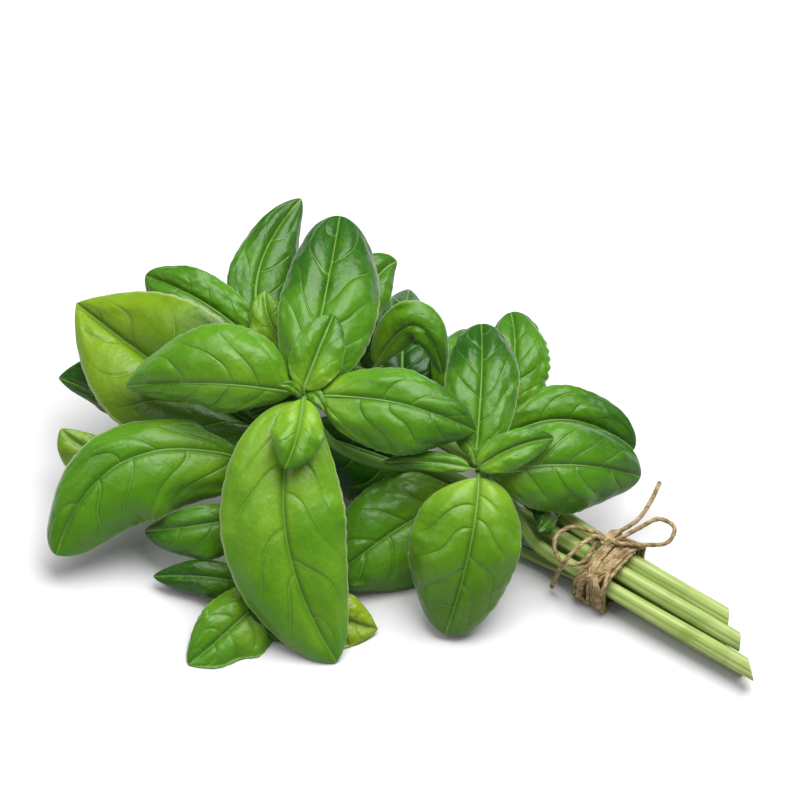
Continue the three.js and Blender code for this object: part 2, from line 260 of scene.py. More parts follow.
def smoothLine(points, step, cuts=24):
    # A centripetal curve through points, in lengths of about step. More cuts draw it finer.
    ends = [2 * points[0] - points[1], *points, 2 * points[-1] - points[-2]]
    fine = []
    for i in range(1, len(ends) - 2):
        p = ends[i - 1:i + 3]
        gaps = [max(math.sqrt((p[k + 1] - p[k]).length), 1e-6) for k in range(3)]
        one = ((p[1] - p[0]) / gaps[0] - (p[2] - p[0]) / (gaps[0] + gaps[1])
               + (p[2] - p[1]) / gaps[1]) * gaps[1]
        two = ((p[2] - p[1]) / gaps[1] - (p[3] - p[1]) / (gaps[1] + gaps[2])
               + (p[3] - p[2]) / gaps[2]) * gaps[1]
        for k in range(cuts):
            t = k / cuts
            fine.append((2 * t ** 3 - 3 * t * t + 1) * p[1] + (t ** 3 - 2 * t * t + t) * one
                        + (3 * t * t - 2 * t ** 3) * p[2] + (t ** 3 - t * t) * two)
    fine.append(points[-1])
    return evenly(fine, step)


def lengths(line):
    total = [0.0]
    for a, b in zip(line, line[1:]):
        total.append(total[-1] + (b - a).length)
    return total


def evenly(line, step):
    total = lengths(line)
    count = max(3, round(total[-1] / step))
    return [pointAt(line, i / count, total) for i in range(count + 1)]


def pointAt(line, share, total=None):
    total = total or lengths(line)
    want = share * total[-1]
    i = 0
    while i < len(line) - 2 and total[i + 1] < want:
        i += 1
    span = max(total[i + 1] - total[i], 1e-9)
    return line[i].lerp(line[i + 1], min(max((want - total[i]) / span, 0), 1))


# A lobed section drawn along lines. The mesh keeps, in sweepAt, how far along and round each
# point lies and how high on its lobe, and in sweepCap how far out it lies on a cut end.
def sweepTree():
    shape = Shape("sweep", {
        "Sides": "NodeSocketInt", "Lobes": "NodeSocketFloat", "Lobe depth": "NodeSocketFloat",
        "Lobe power": "NodeSocketFloat", "Closed": "NodeSocketBool",
        "Material": "NodeSocketMaterial",
    })
    line = shape.add("MeshToCurve", Mesh=shape.given(0))
    line = shape.add("SetCurveTilt", Curve=line, Tilt=shape.named("turned"))
    circle = shape.add("CurvePrimitiveCircle", Resolution=shape.given("Sides"))
    share = shape.add("SplineParameter", "Factor")
    circle = shape.store(circle, "round", share)
    angle = share * (2 * math.pi)
    lobe = (angle * shape.given("Lobes") * 0.5).step("COSINE").step("ABSOLUTE")
    lobe = lobe ** shape.given("Lobe power")
    circle = shape.store(circle, "lobe", lobe)
    reach = 1 - shape.given("Lobe depth") * (1 - lobe)
    place = joined(angle.step("COSINE") * reach, angle.step("SINE") * reach, 0.0)
    circle = shape.add("SetPosition", Geometry=circle, Position=place)
    tube = shape.add("CurveToMesh", Curve=line, Profile_Curve=circle,
                     Scale=shape.named("thick"), Fill_Caps=1 - shape.given("Closed"))
    at = joined(shape.named("along"), shape.named("round"), shape.named("lobe"))
    tube = shape.store(tube, "sweepAt", at)
    shape.finish(tube, shape.given("Material"))
    return shape


sweep = sweepTree()


def sweepMesh(name, lines):
    # lines: dictionaries with points, radius (one per point), twist in turns and closed.
    places, edges = [], []
    columns = {"thick": [], "turned": [], "along": [], "sweepCap": [], "sweepSeed": []}
    for line in lines:
        points, first = line["points"], len(places)
        total = lengths(points)
        places += points
        last = len(points) - 1
        edges += [(first + i, first + i + 1) for i in range(last)]
        closed = line.get("closed", False)
        if closed:
            edges.append((first + last, first))
        around = total[-1] + (points[0] - points[-1]).length * closed
        columns["thick"] += line["radius"]
        twist = 2 * math.pi * line.get("twist", 0)
        columns["turned"] += [twist * t / around for t in total]
        columns["along"] += total
        columns["sweepCap"] += line.get("cap", [1.0] * len(points))
        columns["sweepSeed"] += [line.get("seed", 0.0)] * len(points)
    return pointMesh(name, places, edges, columns)


twine = {
    "radius": 0.85,
    "core": 0.79,               # the twisted plies without the hairs round them
    "plies": 2.0,
    "plyDepth": 0.17,
    "lay": 6.4,                 # millimetres for one whole turn of the plies
    "sides": 16,
    "step": 0.5,
    "fibreLength": 2.0,
    "fibreShortest": 0.35,      # the shortest hair, as a share of the longest
    "fibreRadius": 0.03,
    "fibresPerArea": 0.75,      # for each square millimetre
    "fibreBend": [(0, 0, -0.1), (0, 0, 0.22), (0.85, 0, 0.3)],      # for a hair 1 long
    "fibreTaper": 0.8,
    "fibreLean": 0.5,
}
tie = {
    "turns": [                  # along, slant, and how far it stands off
        (-2.4, 1.4, 0), (0, -1.2, 0), (2.4, 2.2, 0), (4.8, -2.4, 0), (7.0, 0.6, 0),
        (2.2, 5.6, 0.9), (3.0, -5.2, 0.9),
    ],
    "crossed": [                # the same for turns that cross over the others on top
        (1.2, -5.6, 0.7), (3.4, -5.2, 1.0), (1.0, 4.6, 0.8), (3.2, 4.2, 1.1), (2.4, -5.0, 1.3),
        (2.2, 4.6, 1.3), (2.4, -1.0, 0.4), (3.0, 1.2, 0.5), (5.2, -1.4, 0.4),
    ],
    "lean": 0.6,                # where round the bundle a slanted turn lies furthest along
    "bottom": 0.9,
    "top": 15.95,
    "halfWidth": 10.65,
    "squareness": 0.4,          # the turns follow a rounded box; 1 would be an ellipse
    "steps": 150,
    "turnStep": 0.6,
    "knot": (-1.5, -4.6, 17.35),
    "knotSize": (3.4, 2.6, 2.1),
    "knotRings": [(0, 0), (62, 30), (-58, 75), (20, 120), (90, 10)],    # tip and spin, degrees
    "ringSteps": 48,
    "stub": (-1.5, 0.4),        # where the short ends from the knot stop, along a strand
}
strands = {                     # each route is through leafPoint's spots
    "twineLoopRight": {
        "node": "twine_loop_right", "end": "object", "route": [
            (73, 20.8, 18.8), (79, 24, 21), (86, 27.2, 22), (91, 24.4, 21), (89, 19.6, 19),
            (82, 18.6, 18.6), (74.4, 19, 18.6)],
    },
    "twineTailRight": {
        "node": "twine_tail_right", "end": "bare", "route": [
            (72.6, 22.8, 18.4), (78.5, 26.5, 18.4), (83.5, 33, 14), (86.6, 39, 8)],
    },
    "twineLoopLeft": {
        "node": "twine_loop_left", "end": "object", "route": [
            (64, 23, 18.6), (57, 24.6, 20), (52, 21.6, 19), (51.3, 17, 17.5), (54.5, 12.6, 16),
            (60, 12.6, 16.5), (63.6, 17, 17), (64.8, 19.6, 17.2)],
    },
    "twineTailLeft": {
        "node": "twine_tail_left", "end": "bare", "route": [
            (64, 21.2, 20.4), (60, 18.8, 25), (55.6, 14.6, 24), (52.6, 9.8, 15), (50.4, 4.6, 3)],
    },
}


def fibreTree():
    # Short curved fibres that stand off a surface.
    shape = Shape("fibres", {
        "Density": "NodeSocketFloat", "Length": "NodeSocketFloat", "Thickness": "NodeSocketFloat",
        "Seed": "NodeSocketInt", "Material": "NodeSocketMaterial",
    })
    spots = shape.tree.nodes.new("GeometryNodeDistributePointsOnFaces")
    setSockets(spots, {"Mesh": shape.given(0), "Density": shape.given("Density"),
                       "Seed": shape.given("Seed")})
    start, middle, end = twine["fibreBend"]
    bend = shape.add("CurveQuadraticBezier", Resolution=4, Start=start, Middle=middle, End=end)
    section = shape.add("CurvePrimitiveCircle", Resolution=3,
                        Radius=shape.given("Thickness") / shape.given("Length"))
    taper = 1 - shape.add("SplineParameter", "Factor") * twine["fibreTaper"]
    hair = shape.add("CurveToMesh", Curve=bend, Profile_Curve=section, Scale=taper,
                     Fill_Caps=True)
    lean = twine["fibreLean"]
    spin = shape.add("FunctionNodeRandomValue", 0, {"data_type": "FLOAT_VECTOR"},
                     Min=(-lean, -lean, -math.pi), Max=(lean, lean, math.pi),
                     Seed=shape.given("Seed"))
    turn = shape.add("FunctionNodeEulerToRotation", Euler=spin)
    facing = Field(shape.tree, spots.outputs["Rotation"])
    turned = shape.add("FunctionNodeRotateRotation", 0, {"rotation_space": "LOCAL"},
                       Rotation=facing, Rotate_By=turn)
    size = shape.tree.nodes.new("FunctionNodeRandomValue")
    size.data_type = "FLOAT"
    limits = {"Min": twine["fibreShortest"], "Max": 1.0}
    for place in size.inputs:
        if place.type == "VALUE" and place.name in limits:
            place.default_value = limits[place.name]
    long = Field(shape.tree, [o for o in size.outputs if o.type == "VALUE"][0])
    placed = shape.add("InstanceOnPoints", Points=Field(shape.tree, spots.outputs["Points"]),
                       Instance=hair, Rotation=turned, Scale=shape.given("Length") * long)
    shape.finish(placed, shape.given("Material"))
    return shape


fibres = fibreTree()


def newMaterial(name):
    material = bpy.data.materials.new(name)
    material.use_nodes = True
    tree = material.node_tree
    return material, tree, tree.nodes["Principled BSDF"]


def readAttribute(tree, name, vector=False):
    node = tree.nodes.new("ShaderNodeAttribute")
    node.attribute_name = name
    return Field(tree, node.outputs["Vector" if vector else "Fac"], vector)


def objectPlace(tree):
    node = tree.nodes.new("ShaderNodeTexCoord")
    return Field(tree, node.outputs["Object"], True)


def noise(at, scale, detail=2.0, rough=0.5):
    node = at.tree.nodes.new("ShaderNodeTexNoise")
    setSockets(node, {"Vector": at, "Scale": scale, "Detail": detail, "Roughness": rough})
    return Field(at.tree, node.outputs[0])


def blend(share, one, two):
    # Colour one where share is 0 and colour two where it is 1.
    node = share.tree.nodes.new("ShaderNodeMix")
    node.data_type = "RGBA"
    give(share, node.inputs[0])
    for place, value in ((node.inputs[6], one), (node.inputs[7], two)):
        give(value if isinstance(value, Field) else (*value, 1), place)
    return Field(share.tree, node.outputs[2])


def bump(shader, height, strength, distance):
    node = height.tree.nodes.new("ShaderNodeBump")
    setSockets(node, {"Height": height, "Strength": strength, "Distance": distance})
    height.tree.links.new(node.outputs[0], shader.inputs["Normal"])


def shade(red, green, blue):     # a colour as seen on screen, 0 to 255, as linear light
    return tuple(((c / 255 + 0.055) / 1.055) ** 2.4 for c in (red, green, blue))


twineLook = {
    # dark is the fibres' darker grain and also the painted shade in the grooves between the plies.
    "light": shade(166, 147, 110), "mid": shade(118, 100, 64), "dark": shade(62, 49, 28),
    "finish": {"Roughness": 0.92},
    "strandGloss": {"Specular IOR Level": 0.2},
}


def twineColour(tree, *patches):
    patch = noise(objectPlace(tree), *patches)
    return blend(patch.within(0.3, 0.7), twineLook["mid"], twineLook["light"])


def makeTwineMaterial():
    material, tree, shader = newMaterial("twineFibre")
    along, about, lobe = readAttribute(tree, "sweepAt", True).parts()
    grain = noise(joined(along * 260, about * 26, lobe), 1.0, 3.0, 0.6)
    colour = twineColour(tree, 420.0, 2.0)
    colour = blend(grain.within(0.5, 0.68) * 0.55, colour, twineLook["dark"])
    # Painted shade: darker in the grooves between the plies.
    colour = blend((1 - lobe.within(0.05, 0.55)) * 0.5, colour, twineLook["dark"])
    setSockets(shader, {"Base Color": colour, **twineLook["finish"], **twineLook["strandGloss"]})
    bump(shader, grain, 0.6, 0.0002)
    return material


def makeFibreMaterial():
    material, tree, shader = newMaterial("twineHair")
    setSockets(shader, {"Base Color": twineColour(tree, 500.0, 1.0), **twineLook["finish"]})
    return material


twineMaterial = makeTwineMaterial()
fibreMaterial = makeFibreMaterial()


def twinePiece(name, lines, seed):
    core = sweep.make(name, sweepMesh(name, lines), Sides=twine["sides"], Lobes=twine["plies"],
                      Lobe_depth=twine["plyDepth"], Lobe_power=1.0,
                      Closed=lines[0].get("closed", False), Material=twineMaterial)
    hair = fibres.make(name + "Hair", core.data.copy(), Density=twine["fibresPerArea"] / mm ** 2,
                       Length=twine["fibreLength"] * mm, Thickness=twine["fibreRadius"] * mm,
                       Seed=seed, Material=fibreMaterial)
    whole = joinPieces(name, [core, hair])
    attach(whole, "root")
    return whole


def twineLine(points, seed):
    # A line of twine for sweepMesh, twisted by its lay.
    return {
        "points": points, "seed": seed, "radius": [twine["core"] * mm] * len(points),
        "twist": lengths(points)[-1] / (twine["lay"] * mm),
    }


def makeStrand(name, strand, seed):
    line = smoothLine([leafPoint(spot) for spot in strand["route"]], twine["step"] * mm)
    long = lengths(line)[-1]
    whole = twinePiece(name, [twineLine(line, seed / 10)], seed)
    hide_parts(strand["node"])
    print(f"{name}: {long * 1000:.1f} mm of twine")


def turnLine(along, slant, over, lean):
    squared = lambda value: math.copysign(abs(value) ** tie["squareness"], value)
    middle, rise = (tie["top"] + tie["bottom"]) / 2, (tie["top"] - tie["bottom"]) / 2
    points = []
    for step in range(tie["steps"]):
        angle = 2 * math.pi * step / tie["steps"]
        out, up = math.cos(angle), math.sin(angle)
        points.append(bundlePoint(
            along + slant * math.cos(angle - lean),
            squared(out) * (tie["halfWidth"] + over),
            middle + squared(up) * rise + max(up, 0) * over,
        ))
    return points


def closedTwine(points, step, seed):
    # A ring of twine with a whole number of plies round it, so that its two ends meet.
    line = twineLine(evenly(points + [points[0]], step)[:-1], seed)
    whole = round(twine["plies"] * line["twist"]) / twine["plies"]
    return {**line, "closed": True, "twist": whole}


def makeTie():
    turns = [(*turn, tie["lean"]) for turn in tie["turns"]]
    turns += [(*turn, -tie["lean"]) for turn in tie["crossed"]]
    lines = [closedTwine(turnLine(*turn), tie["turnStep"] * mm, number * 0.7)
             for number, turn in enumerate(turns)]
    centre = bundlePoint(*tie["knot"])
    reach = [(size - twine["radius"]) * mm for size in tie["knotSize"]]
    for number, (tip, spin) in enumerate(tie["knotRings"]):
        turn = Quaternion((1, 0, 0), math.radians(tip)) @ Quaternion((0, 1, 0), math.radians(spin))
        ring = []
        for step in range(tie["ringSteps"]):
            angle = 2 * math.pi * step / tie["ringSteps"]
            spot = turn @ Vector((math.cos(angle), math.sin(angle), 0))
            ring.append(centre + Vector([spot[k] * reach[k] for k in range(3)]))
        lines.append(closedTwine(ring, twine["step"] * mm, 9 + number))
    for strand in strands.values():
        tied = [strand["route"][:2]]        # a short end runs from the knot to each tied end
        if strand["end"] == "object":
            tied.append(strand["route"][:-3:-1])
        for first, second in tied:
            start = leafPoint(first)
            ahead = (leafPoint(second) - start).normalized()
            line = smoothLine([centre, *(start + ahead * (gap * mm) for gap in tie["stub"])],
                              twine["step"] * mm)
            lines.append(twineLine(line, 20 + len(lines)))
    whole = twinePiece("twineTie", lines, 11)
    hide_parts("twine_tie")


for count, (name, strand) in enumerate(strands.items(), 1):
    makeStrand(name, strand, count)
makeTie()
print("twine made")

blade = {
    "grids": {"Large": (110, 45, 115), "Small": (50, 25, 55)},      # rows, columns and a seed
    "largeOver": 22,            # a leaf is large over this width
    "puff": 0.11,               # how far each half bulges, as a share of its width
    "curl": 0.16,               # how far its margin bends down
    "wave": 0.9,
    "waveCount": 13,
    "narrowest": 0.12,
    "fullRelief": 8.0,          # a half narrower than this has less relief
    "thickness": 0.42,
    "clear": 0.25,              # how far a blade stays above the table
    "quilt": 0.055,             # how far the blade swells between its lateral veins
    "veins": 4.8,
    "veinSlope": 1.7,
    "veinSway": 0.22,           # how unevenly the veins are spaced
    "rough": 1.3,               # millimetres of uneven crumple
    "crumples": (4.6, 2.6, 7.3),        # how many along and across a leaf, and for each seed
    "teeth": 0.016,
    "toothCount": 13.0,
    "groove": 0.7,              # depth of the midrib's furrow
    "grooveWidth": 1.1,
}
leafLook = {
    # pale is the colour of the painted highlight along the margins, deep is also the colour of the
    # painted shade in the hollows, and yellow is partly painted light through a thin blade.
    "deep": shade(28, 72, 3), "mid": shade(66, 114, 10), "light": shade(104, 142, 28),
    "yellow": shade(124, 142, 20), "pale": shade(184, 196, 140), "vein": shade(134, 168, 60),
    "under": shade(96, 128, 40),
    "roughness": 0.28,
    "creaseShade": 0.42,             # how dark the painted shade in the hollows at the lateral veins is
    "flankShade": 0.32,              # how dark the painted shade in the hollows beside the midrib is
    "veinDepth": 0.42, "midribDepth": 0.3, "relief": 0.0005,
    "patches": 60.0, "mottles": 900.0, "cells": 620.0, "grain": 300.0,      # how many a metre
    "finish": {
        "Specular IOR Level": 0.26, "Sheen Weight": 0.16, "Sheen Roughness": 0.35,
        "Subsurface Weight": 0.2, "Subsurface Radius": (0.7, 1.0, 0.1), "Subsurface Scale": mm,
    },
}


def veinField(at, seed):
    # Which vein's stretch a point is in, as a number that is whole on each lateral vein.
    along, across, _ = at.parts()
    out, side = across.step("ABSOLUTE"), across.step("SIGN")
    where = joined(along * 3.4, out * 1.2, side * 3.0 + seed * 17.0)
    sway = (noise(where, 1.0, 0.0) - 0.5) * blade["veinSway"]
    spread = (along ** 0.85 + sway) * blade["veins"]
    return spread - (out ** 1.7) * blade["veinSlope"] + side * 0.2 + seed, out


def makeLeafMaterial():
    material, tree, shader = newMaterial("basilLeaf")
    at = readAttribute(tree, "leafAt", True)
    look = readAttribute(tree, "leafLook", True)
    under = readAttribute(tree, "leafUnder")
    along, across, reach = at.parts()
    light, yellow, pale = look.parts()
    seed = readAttribute(tree, "leafSeed")
    count, out = veinField(at, seed)
    spot = objectPlace(tree)
    offVein = (count.step("FRACT") - 0.5).step("ABSOLUTE")      # 0.5 on a vein
    lateral = offVein.within(0.47, 0.5) * (1 - out.within(0.5, 0.97)) * 0.85
    midrib = 1 - reach.within(0.1, 0.42)
    veins = midrib.step("MAXIMUM", lateral)
    patch = noise(spot, leafLook["patches"], 3.0)
    mottle = noise(spot, leafLook["mottles"], 2.0)
    # Tone slope from base to tip: lighter at the base and darker towards the margins. A negative
    # slope instead darkens the base and lightens the tip, and it adds painted shadow over the
    # base, cast by the leaf above it.
    turn = readAttribute(tree, "leafSlopeAndShadow")
    baseShadow = (turn * -1).within(0.0, 0.8) * (1 - along.within(0.3, 0.8))
    spread = (0.42 - along) * turn * 0.7 - out * 0.12 \
        - baseShadow * out.within(0.3, 0.7) * (across.step("SIGN") * 0.2 + 0.5)
    yellow = yellow * (1 - baseShadow * 0.8)
    # Each leaf's light value shifts its tone: partly its own colour, partly painted shade on
    # leaves in shadow and painted light on leaves in full light.
    tone = (patch - 0.5) * 0.7 + light * 0.5 + 0.54 + (mottle - 0.5) * 0.2 + spread
    colour = blend(tone.within(0.0, 0.5), leafLook["deep"], leafLook["mid"])
    colour = blend(tone.within(0.5, 1.0), colour, leafLook["light"])
    # Yellow-green: partly the leaf's own colour, partly painted light shining through a thin
    # blade.
    colour = blend(yellow, colour, leafLook["yellow"])
    # Painted shade: darker in the hollows along the lateral veins, fading towards the margin, and
    # beside the midrib.
    creaseShade = offVein.within(0.36, 0.5) ** 2.0 * (1 - out.within(0.4, 0.9)) * leafLook["creaseShade"]
    flankShade = (1 - reach.within(0.4, 2.2)) * leafLook["flankShade"]
    colour = blend(creaseShade.step("MAXIMUM", flankShade), colour, leafLook["deep"])
    colour = blend(under * 0.75, colour, leafLook["under"])
    colour = blend(veins * (0.5 - along * 0.2), colour, leafLook["vein"])
    # Painted highlight: a pale rim along each margin, stronger on leaves with more pale.
    margin = out.within(0.95, 1.0) * (pale * 0.7 + 0.08)
    colour = blend(margin, colour, leafLook["pale"])
    rough = patch * 0.16 + under * 0.25 + leafLook["roughness"]
    setSockets(shader, {"Base Color": colour, "Roughness": rough, **leafLook["finish"]})
    cells = tree.nodes.new("ShaderNodeTexVoronoi")
    setSockets(cells, {"Vector": spot, "Scale": leafLook["cells"]})
    fine = Field(tree, cells.outputs["Distance"]) * -0.12
    fine = fine + noise(spot, leafLook["grain"], 2.0) * 0.6
    wide = (reach / out.step("MAXIMUM", 0.03)).within(2.0, 18.0)
    sunk = offVein.within(0.4, 0.5) * (1 - out.within(0.45, 0.95)) * wide
    relief = fine - sunk * leafLook["veinDepth"]
    relief = relief - (1 - reach.within(0.2, 1.3)) * leafLook["midribDepth"]
    bump(shader, relief, 1.0, leafLook["relief"])
    return material


stalkLook = {
    # groove is the colour of the painted shade in the stem's grooves, and also of its darker
    # blotches.
    "flesh": shade(122, 144, 68), "pale": shade(152, 162, 100), "groove": shade(82, 114, 28),
    "cutEdge": shade(140, 128, 58), "pith": shade(196, 194, 136), "brown": shade(140, 104, 48),
    "leafy": shade(70, 122, 26), "finish": {"Roughness": 0.52, "Specular IOR Level": 0.3},
}


def makeStalkMaterial():
    material, tree, shader = newMaterial("basilStalk")
    along, about, lobe = readAttribute(tree, "sweepAt", True).parts()
    cap = readAttribute(tree, "sweepCap")
    seed = readAttribute(tree, "sweepSeed")
    streak = noise(joined(along * 30, about * 16, seed), 1.0, 3.0, 0.6)
    blotch = noise(objectPlace(tree), 110.0, 2.0)
    colour = blend(streak.within(0.38, 0.62), stalkLook["flesh"], stalkLook["pale"])
    # Painted shade: darker in the grooves between the stem's lobes.
    groove = (1 - lobe.within(0.0, 0.16)) * 0.7
    colour = blend(groove, colour, stalkLook["groove"])
    colour = blend(blotch.within(0.5, 0.75) * 0.35, colour, stalkLook["groove"])
    green = along.within(0.05, 0.13)
    colour = blend(green * 0.75, colour, stalkLook["leafy"])
    end = blend(cap.within(0.55, 0.9), stalkLook["pith"], stalkLook["cutEdge"])
    end = blend(blotch.within(0.52, 0.6) * 0.7, end, stalkLook["brown"])
    colour = blend(1 - cap.within(0.95, 1.0), colour, end)
    setSockets(shader, {"Base Color": colour, **stalkLook["finish"]})
    bump(shader, streak, 0.3, 0.0004)
    return material


leafMaterial = makeLeafMaterial()
stalkMaterial = makeStalkMaterial()


def leafTree():
    shape = Shape("leafBlades", {
        "Rows": "NodeSocketInt", "Columns": "NodeSocketInt", "Material": "NodeSocketMaterial",
    })
    flat = shape.add("MeshGrid", "Mesh", Size_X=2.0, Size_Y=1.0,
                     Vertices_X=shape.given("Columns"), Vertices_Y=shape.given("Rows"))
    place = shape.add("InputPosition")
    place.vector = True
    column, row, _ = place.parts()
    flat = shape.store(flat, "across", column)
    flat = shape.store(flat, "even", row + 0.5)
    lower = shape.store(flat, "face", -1.0)
    upper = shape.add("FlipFaces", Mesh=flat)
    upper = shape.store(upper, "face", 1.0)
    both = shape.join(upper, lower)
    leaves = shape.add("InstanceOnPoints", Points=shape.given(0), Instance=both)
    leaves = shape.add("RealizeInstances", Geometry=leaves)

    get = shape.named
    even, across, face = get("even"), get("across"), get("face")
    # s runs from 0 at the root to 1 at the tip, and j from -1 to 1 across the blade.
    s = even * 0.5 + (1 - (even * math.pi).step("COSINE")) * 0.25
    sign = across.step("SIGN")
    out = across.step("ABSOLUTE")
    out = out * 0.35 + (1 - (out * math.pi).step("COSINE")) * 0.325     # closer at both ends
    j = out * sign
    onLeft = across.step("GREATER_THAN", 0.0)
    pick = lambda one, two: two + (one - two) * onLeft
    half, fold = pick(get("left"), get("right")), pick(get("foldLeft"), get("foldRight"))
    share = (s ** get("rise")) * ((1 - s) ** get("blunt")) / get("peak")
    tooth = (s * (blade["toothCount"] * math.pi)).step("SINE").step("ABSOLUTE") - 0.6
    inside = s.within(0.08, 0.25) * (1 - s.within(0.9, 1.0))
    width = (half * share).step("MAXIMUM", blade["narrowest"] * mm)
    reachWidth = width * (tooth * inside * (out ** 5.0) * get("teeth") + 1)
    reach = out * reachWidth

    root, control, tip = get("root", True), get("control", True), get("tip", True)
    rest = 1 - s
    at = root * (rest * rest) + control * (s * rest * 2) + tip * (s * s)
    along = ((control - root) * rest + (tip - control) * s).step("NORMALIZE")
    side = get("facing", True).step("CROSS_PRODUCT", along).step("NORMALIZE")
    normal = along.step("CROSS_PRODUCT", side).step("NORMALIZE")

    bulge = ((out * math.pi).step("SINE") * blade["puff"] - (out ** 3.0) * blade["curl"]) * width
    limit = (width / (blade["fullRelief"] * mm)).step("MINIMUM", 1.0)
    ripple = (s * blade["waveCount"] + onLeft * 2).step("SINE") * out * out * get("wave")
    ripple = ripple * limit * mm
    seed = get("leafSeed")
    stretch, _ = veinField(joined(s, j, 0.0), seed)
    offVein = (stretch.step("FRACT") - 0.5).step("ABSOLUTE") * 2.0     # 1 on a lateral vein
    uneven = (stretch.step("FLOOR") * 2.7 + seed * 40 + onLeft * 1.3).step("SINE") * 0.4 + 0.6
    swell = (1 - offVein ** 4.0) * (out * math.pi).step("SINE").step("MAXIMUM", 0.0) ** 0.6
    swell = swell * uneven
    ends = s.within(0.0, 0.12) * (1 - s.within(0.85, 1.0))
    often = blade["crumples"]
    crumple = noise(joined(s * often[0], j * often[1], seed * often[2]), 1.0, 2.0) - 0.5
    crumple = crumple * (out * limit * blade["rough"] * 4 * mm)
    groove = (reach / (blade["grooveWidth"] * mm)) ** 2.0
    furrow = (groove * -1.0).step("EXPONENT") * limit * ends * (blade["groove"] * mm)
    lift = bulge + ripple + swell * ends * width * get("quilt") + crumple * ends - furrow

    cosine, sine = fold.step("COSINE"), fold.step("SINE")
    spot = at + side * (sign * (reach * cosine - lift * sine)) \
        + normal * (reach * sine + lift * cosine)
    edge = ((1 - out) * 9).step("MINIMUM", 1.0) * (s * 22).step("MINIMUM", 1.0) \
        * (rest * 22).step("MINIMUM", 1.0)
    thick = edge.step("SQRT") * face * (blade["thickness"] * mm / 2)
    spot = spot + normal * thick
    x, y, z = spot.parts()
    z = z.step("MAXIMUM", thick + blade["clear"] * mm)
    leaves = shape.store(leaves, "leafAt", joined(s, j, reach * 1000))
    leaves = shape.store(leaves, "leafUnder", face.step("LESS_THAN", 0.0))
    leaves = shape.add("SetPosition", Geometry=leaves, Position=joined(x, y, z))
    leaves = shape.add("MergeByDistance", Geometry=leaves, Distance=1e-6)
    shape.finish(leaves, shape.given("Material"))
    return shape


leafBlades = leafTree()
# Per leaf, light shifts the tone, partly as its own colour and partly as painted shade and painted
# light. pale sets the painted highlight along the rim. yellow sets the yellow-green, partly
# painted light through a thin blade. turn sets the slope of the tone from base to tip, and a
# negative turn paints shadow over the base.
plainLeaf = {
    "foldLeft": -8, "foldRight": -8, "blunt": 0.68, "widest": 0.43, "light": 0.0, "yellow": 0.0,
    "pale": 0.0, "wave": blade["wave"], "quilt": blade["quilt"], "teeth": blade["teeth"],
    "turn": 1.0,
}


def leaf(start, root, middle, tip, left, right, **look):
    # start is the share of the stem's length where the leaf's stalk leaves it. The next three are
    # leafPoint's spots, and left and right are the widths of the two halves.
    return {**plainLeaf, "from": start, "root": root, "middle": middle, "tip": tip,
            "left": left, "right": right, **look}


def midribCurve(one):
    root, middle, tip = (leafPoint(one[k]) for k in ("root", "middle", "tip"))
    return root, 2 * middle - 0.5 * root - 0.5 * tip, tip


def leafColumns(leaves, seed):
    chance = random.Random(seed)
    columns = {}
    for one in leaves:
        root, control, tip = midribCurve(one)
        rise = one["blunt"] * one["widest"] / (1 - one["widest"])
        values = {
            "root": root, "control": control, "tip": tip, "facing": outward, "rise": rise,
            "peak": one["widest"] ** rise * (1 - one["widest"]) ** one["blunt"],
            **{name: one[name] * mm for name in ("left", "right")},
            **{name: math.radians(one[name]) for name in ("foldLeft", "foldRight")},
            **{name: one[name] for name in ("blunt", "wave", "quilt", "teeth")},
            "leafLook": (one["light"], one["yellow"], one["pale"]),
            "leafSlopeAndShadow": one["turn"], "leafSeed": chance.random(),
        }
        for name, value in values.items():
            columns.setdefault(name, []).append(value)
    return columns


